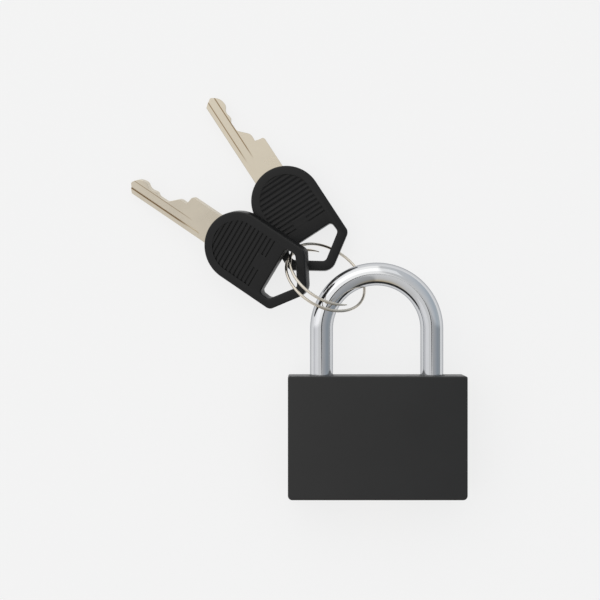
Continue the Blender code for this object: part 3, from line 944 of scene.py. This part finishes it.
class PADLOCK_OT_cylinder(bpy.types.Operator):
    """Turns the brass plug and cuts its keyway and pin holes"""

    bl_idname = "padlock.cylinder"
    bl_label = "Cylinder Plug"

    def execute(self, context):
        length = PLUG_END_Y - PLUG_FACE_Y
        groove_low, groove_high = (y - PLUG_FACE_Y for y in RETAINER_GROOVE_Y)
        profile = [
            (0.0, length),
            (PLUG_R - 0.3 * MM, length),
            (PLUG_R, length - 0.3 * MM),
            (PLUG_R, groove_high),
            (RETAINER_GROOVE_R, groove_high),
            (RETAINER_GROOVE_R, groove_low),
            (PLUG_R, groove_low),
            (PLUG_R, FLANGE_T),
            (FLANGE_R, FLANGE_T),
            (FLANGE_R, 0.3 * MM),
            (FLANGE_R - 0.1 * MM, 0.1 * MM),
            (FLANGE_R - 0.3 * MM, 0.0),
            (4.3 * MM, 0.0),
            (4.2 * MM, 0.12 * MM),
            (4.1 * MM, 0.0),
            (0.0, 0.0),
        ]
        plug = turned("plug", profile, (0.0, PLUG_FACE_Y, MID_Z), (0, 1, 0))
        keyway = box(
            "keyway",
            (-4.3 * MM, PLUG_FACE_Y - OVERCUT, MID_Z - 1.15 * MM),
            (1.85 * MM, -0.8 * MM, MID_Z + 1.15 * MM),
        )
        ward = box(
            "ward",
            (-2.95 * MM, PLUG_FACE_Y - 2.0 * OVERCUT, MID_Z + 0.75 * MM),
            (-1.45 * MM, 0.2 * MM, MID_Z + 2.0 * MM),
        )
        keyway = carve(keyway, [ward])
        cutters = [keyway]
        for y in PIN_ROWS:
            start = (-1.7 * MM, y, MID_Z)
            cutters.append(rod("pin_hole", start, (PLUG_R + OVERCUT, y, MID_Z), PIN_HOLE_R, 24))
        plug = finish_mesh(carve(plug, cutters))
        brass = turned_metal("turned_brass", (0.74, 0.56, 0.27), 0.28)
        fit_piece(plug, "plug", "brass", brass, "cylinder_plug")
        return {"FINISHED"}


class PADLOCK_OT_inner_parts(bpy.types.Operator):
    """Finishes the pins, springs, bolt and stoppers inside the case"""

    bl_idname = "padlock.inner_parts"
    bl_label = "Inner Parts"

    def execute(self, context):
        steel = turned_metal("turned_steel", (0.56, 0.57, 0.58), 0.32)
        brass = turned_metal("pin_brass", (0.74, 0.56, 0.27), 0.3)
        paint = satin_paint(context.scene.padlock_case.paint)
        finishes = {"steel": steel, "brass": brass, "black_paint": paint}
        for row in frame["record"]["subparts"]:
            node = frame["nodes"][row["node"]]
            finish = finishes.get(row["material_slot"])
            if finish is None:
                continue
            for slot in node.material_slots:
                slot.material = finish
        return {"FINISHED"}


class PADLOCK_OT_ring(bpy.types.Operator):
    """Winds the split ring, one and a half turns of wire with ground ends"""

    bl_idname = "padlock.ring"
    bl_label = "Split Ring"

    def execute(self, context):
        settings = context.scene.padlock_ring
        count = 180
        points = []
        for i in range(count + 1):
            degrees = RING_FROM + (RING_TO - RING_FROM) * i / count
            angle = math.radians(degrees)
            turns = math.radians(degrees - RING_FROM) / (2.0 * math.pi)
            points.append(
                (
                    settings.radius * math.cos(angle),
                    settings.radius * math.sin(angle),
                    (turns + 0.78) * settings.rise,
                )
            )
        matrix = Matrix.Translation(RING_CENTRE) @ Euler(RING_TURN).to_matrix().to_4x4()

        def ground(i):
            return min(1.0, 0.35 + 0.11 * min(i, count - i))

        ring = finish_mesh(wire("split_ring", points, settings.wire, 4, matrix, ground), 60.0)
        fit_piece(ring, "ring", "nickel", nickel_wire(settings.metal), "key_ring")
        return {"FINISHED"}


class PADLOCK_OT_keys(bpy.types.Operator):
    """Builds both keys: a moulded head round a milled metal blade"""

    bl_idname = "padlock.keys"
    bl_label = "Keys"

    def execute(self, context):
        settings = context.scene.padlock_key
        plastic = moulded_plastic(settings.plastic)
        metal = nickel_silver(settings.metal)
        for name, (apex, heading, pitch, roll) in KEY_POSES.items():
            turn = Euler((math.radians(-roll), math.radians(pitch), math.radians(heading + 180.0)))
            matrix = Matrix.Translation(apex) @ turn.to_matrix().to_4x4()
            head = self.make_head(name, settings, matrix)
            fit_piece(head, name, "black_plastic", plastic, name + "_bow")
            blade = self.make_blade(name, settings, matrix)
            fit_piece(blade, name, "nickel", metal, name + "_blade")
        return {"FINISHED"}

    def head_outline(self):
        half = HEAD_HALF_W
        arch = []
        steps = 48
        for i in range(steps + 1):
            angle = math.pi / 2.0 - math.pi * i / steps
            arch.append((HEAD_ARCH_X + half * math.cos(angle), half * math.sin(angle), 0.0))
        point = [
            (HEAD_SHOULDER_X, -half, 1.8 * MM),
            (HEAD_POINT_X, 0.0, 3.2 * MM),
            (HEAD_SHOULDER_X, half, 1.8 * MM),
        ]
        return filleted(arch + point)

    def hole_outline(self):
        side_x, side_y = HOLE_SIDE
        end_x, end_y = HOLE_END
        corners = [
            (2.46 * MM, 0.0, 1.2 * MM),
            (side_x, side_y, 1.5 * MM),
            (end_x, end_y, 0.9 * MM),
            (end_x, -end_y, 0.9 * MM),
            (side_x, -side_y, 1.5 * MM),
        ]
        return filleted(corners)

    def recess_outline(self):
        points = [(RECESS_END_X, -RECESS_R), (RECESS_END_X, RECESS_R)]
        steps = 40
        for i in range(steps + 1):
            angle = math.pi / 2.0 - math.pi * i / steps
            points.append((HEAD_ARCH_X + RECESS_R * math.cos(angle), RECESS_R * math.sin(angle)))
        return points[::-1]

    def make_recess(self, settings, side, matrix):
        """The space round the grip ribs, as a cutter."""
        top = settings.head_thickness / 2.0
        depth = RECESS_DEPTH + OVERCUT
        middle = side * (top - RECESS_DEPTH + depth / 2.0)
        lift = Matrix.Translation((0.0, 0.0, middle))
        pocket = plate("recess", [self.recess_outline()], depth, 0.0, matrix @ lift)
        bm = bmesh.new()
        low = top - RECESS_DEPTH - 0.2 * MM
        high = top - 0.1 * MM
        pitch = settings.rib_pitch
        first = RECESS_END_X + 0.64 * MM
        past_rim = 8.0 * MM
        spots = [(first + pitch * i, RIB_W, past_rim) for i in range(RIB_COUNT)]
        spots.append((RECESS_END_X + 1.1 * MM, 2.6 * MM, 2.0 * MM))
        for x, width, half in spots:
            made = bmesh.ops.create_cube(bm, size=1.0)
            bmesh.ops.scale(bm, vec=(width, 2.0 * half, high - low), verts=made["verts"])
            bmesh.ops.translate(bm, vec=(x, 0.0, side * (high + low) / 2.0), verts=made["verts"])
        mesh = bpy.data.meshes.new("ribs")
        bm.to_mesh(mesh)
        bm.free()
        ribs = link(bpy.data.objects.new("ribs", mesh))
        ribs.matrix_world = matrix
        soften = ribs.modifiers.new("soften", "BEVEL")
        soften.width = 0.12 * MM
        soften.segments = 2
        ribs = bake_shape(ribs)
        mod = pocket.modifiers.new("ribs", "BOOLEAN")
        mod.solver = "EXACT"
        mod.use_self = True
        mod.object = ribs
        pocket = bake_shape(pocket)
        bpy.data.objects.remove(ribs, do_unlink=True)
        return pocket

    def make_head(self, name, settings, matrix):
        outlines = [self.head_outline(), self.hole_outline()]
        head = plate(name + "_head", outlines, settings.head_thickness, 0.4 * MM, matrix, 3)
        thick = settings.blade_thickness / 2.0 + 0.12 * MM
        wide = BLADE_H / 2.0 + 0.1 * MM
        mouth_x = BLADE_END_X - 0.3 * MM
        mouth = box("mouth", (mouth_x, -wide, -thick), (31.0 * MM, wide, thick), matrix)
        pocket_low = (22.2 * MM, -2.8 * MM, -0.75 * MM)
        pocket_high = (28.3 * MM, 2.8 * MM, 0.75 * MM)
        pocket = box("pocket", pocket_low, pocket_high, matrix)
        cutters = [mouth, pocket]
        for side in (1.0, -1.0):
            cutters.append(self.make_recess(settings, side, matrix))
        return finish_mesh(carve(head, cutters), 32.0)

    def make_blade(self, name, settings, matrix):
        half = BLADE_H / 2.0
        end = BLADE_END_X
        outline = [(KEY_LENGTH - d * MM, half - h * MM) for d, h in KEY_CUTS]
        outline += [(end, -half), (end, half)]
        outline += [(KEY_LENGTH - 1.6 * MM, half), (KEY_LENGTH - 0.95 * MM, half - 0.75 * MM)]
        thick = settings.blade_thickness
        blade = plate(name + "_shank", [outline], thick, 0.0, matrix)
        soften = blade.modifiers.new("soften", "BEVEL")
        soften.limit_method = "ANGLE"
        soften.angle_limit = math.radians(70.0)
        soften.width = 0.06 * MM
        soften.segments = 1
        blade = bake_shape(blade)
        tang_low = (22.5 * MM, -2.5 * MM, -0.5 * MM)
        tang_high = (end + MM, 2.5 * MM, 0.5 * MM)
        tang = box("tang", tang_low, tang_high, matrix)
        blade = carve(blade, [tang], "UNION")
        mills = []
        for side in (1.0, -1.0):
            groove = [
                (31.4 * MM, half - 1.15 * MM),
                (32.2 * MM, half - 1.85 * MM),
                (33.4 * MM, half - 2.5 * MM),
                (35.0 * MM, half - 2.95 * MM),
                (36.8 * MM, half - GROOVE_LOW),
                (55.0 * MM, half - GROOVE_LOW),
                (55.0 * MM, half - GROOVE_HIGH),
            ]
            lift = Matrix.Translation((0.0, 0.0, side * (thick / 2.0 + 0.35 * MM)))
            mills.append(plate("mill", [groove], 1.5 * MM, 0.0, matrix @ lift))
        return finish_mesh(carve(blade, mills), 25.0)


class PADLOCK_PT_panel(bpy.types.Panel):
    bl_idname = "PADLOCK_PT_panel"
    bl_label = "Keyed Padlock"
    bl_space_type = "VIEW_3D"
    bl_region_type = "UI"
    bl_category = "Padlock"

    def draw(self, context):
        scene = context.scene
        rows = [
            (PADLOCK_OT_stage, scene.padlock_stage, ("floor", "glow", "height", "lens")),
            (PADLOCK_OT_case, scene.padlock_case, ("edge", "low_corner", "high_corner", "paint")),
            (PADLOCK_OT_shackle, scene.padlock_shackle, ("sides", "plating")),
            (PADLOCK_OT_cylinder, None, ()),
            (PADLOCK_OT_inner_parts, None, ()),
            (PADLOCK_OT_ring, scene.padlock_ring, ("wire", "radius", "rise", "metal")),
            (
                PADLOCK_OT_keys,
                scene.padlock_key,
                ("head_thickness", "blade_thickness", "rib_pitch", "plastic", "metal"),
            ),
        ]
        for operator, settings, names in rows:
            group = self.layout.box()
            group.operator(operator.bl_idname)
            for name in names:
                group.prop(settings, name)


SETTINGS = [
    ("padlock_case", PadlockCaseSettings),
    ("padlock_shackle", PadlockShackleSettings),
    ("padlock_key", PadlockKeySettings),
    ("padlock_ring", PadlockRingSettings),
    ("padlock_stage", PadlockStageSettings),
]
OPERATORS = [
    PADLOCK_OT_stage,
    PADLOCK_OT_case,
    PADLOCK_OT_shackle,
    PADLOCK_OT_cylinder,
    PADLOCK_OT_inner_parts,
    PADLOCK_OT_ring,
    PADLOCK_OT_keys,
]


def register():
    for name, group in SETTINGS:
        bpy.utils.register_class(group)
        setattr(bpy.types.Scene, name, PointerProperty(type=group))
    for operator in OPERATORS:
        bpy.utils.register_class(operator)
    bpy.utils.register_class(PADLOCK_PT_panel)


def unregister():
    bpy.utils.unregister_class(PADLOCK_PT_panel)
    for operator in reversed(OPERATORS):
        bpy.utils.unregister_class(operator)
    for name, group in reversed(SETTINGS):
        delattr(bpy.types.Scene, name)
        bpy.utils.unregister_class(group)


def main():
    register()
    bpy.ops.padlock.stage()
    bpy.ops.padlock.case()
    bpy.ops.padlock.shackle()
    bpy.ops.padlock.cylinder()
    bpy.ops.padlock.inner_parts()
    bpy.ops.padlock.ring()
    bpy.ops.padlock.keys()


if __name__ == "__main__":
    main()
